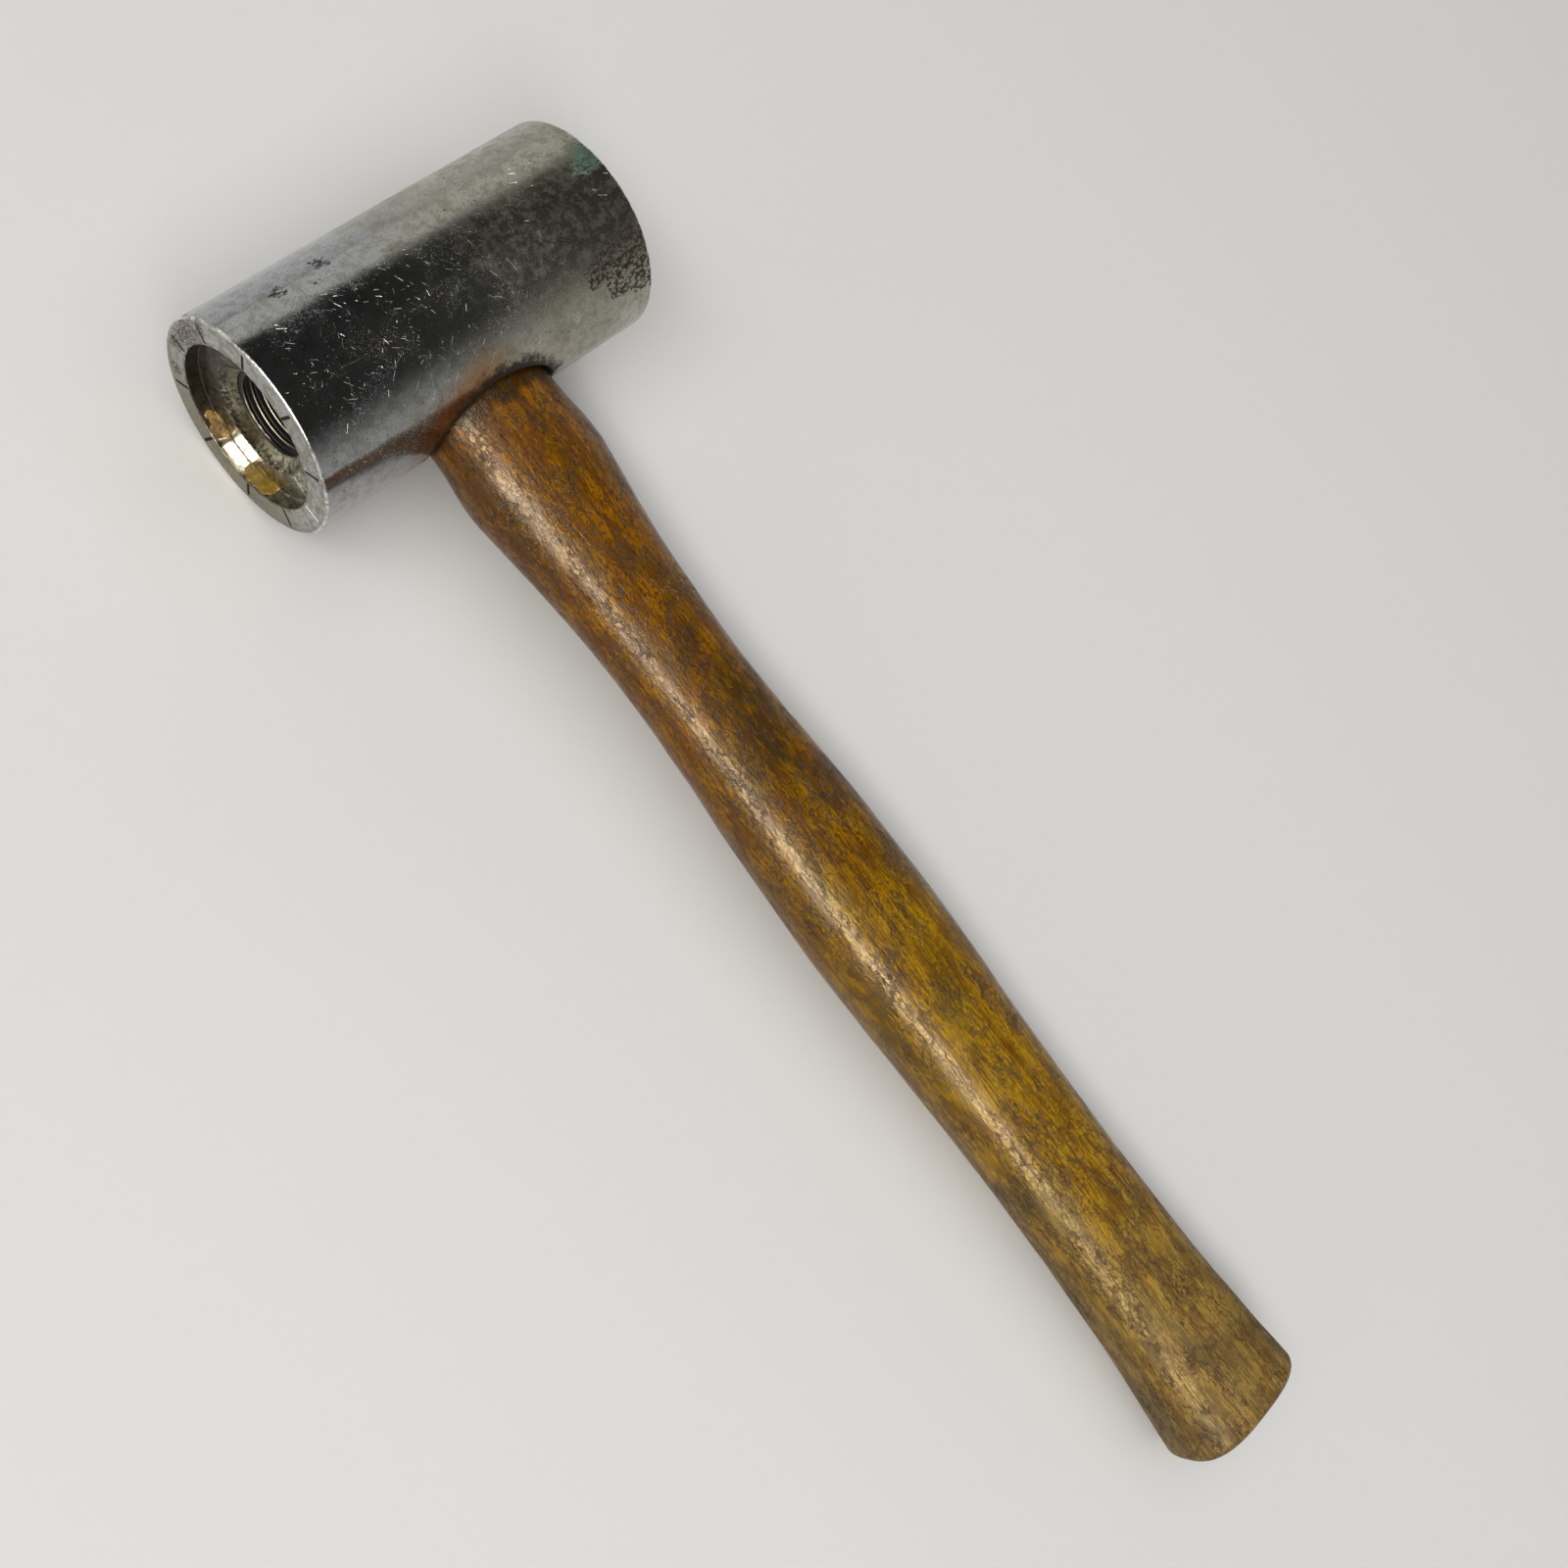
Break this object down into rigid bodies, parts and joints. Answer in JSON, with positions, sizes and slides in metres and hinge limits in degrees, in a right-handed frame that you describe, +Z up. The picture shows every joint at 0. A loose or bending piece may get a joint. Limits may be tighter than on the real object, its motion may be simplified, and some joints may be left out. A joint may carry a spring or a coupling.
{
  "type": "soft-face hammer",
  "caption": "Hammer with a plated cylindrical head whose threaded end sockets are empty, on a shaped wooden handle wedged in an oval eye, lying on its side.",
  "frame": {"origin": "centre of the footprint, on the surface the hammer lies on", "axes": "+X along the barrel, +Y from the butt of the handle towards the head, +Z up from the surface"},
  "size_m": [0.0934, 0.3408, 0.05],
  "materials": {
    "plated_steel": "worn polish, scratched and pitted",
    "handle_wood": "aged varnish, dented, dry at the butt",
    "wedge_wood": "bare, dirty",
    "wedge_steel": "dull, oxidised"
  },
  "bodies": {
    "root": {"head_body": "plated_steel", "handle": "handle_wood", "wood_wedge": "wedge_wood", "steel_wedge": "wedge_steel"}
  },
  "joints": []
}
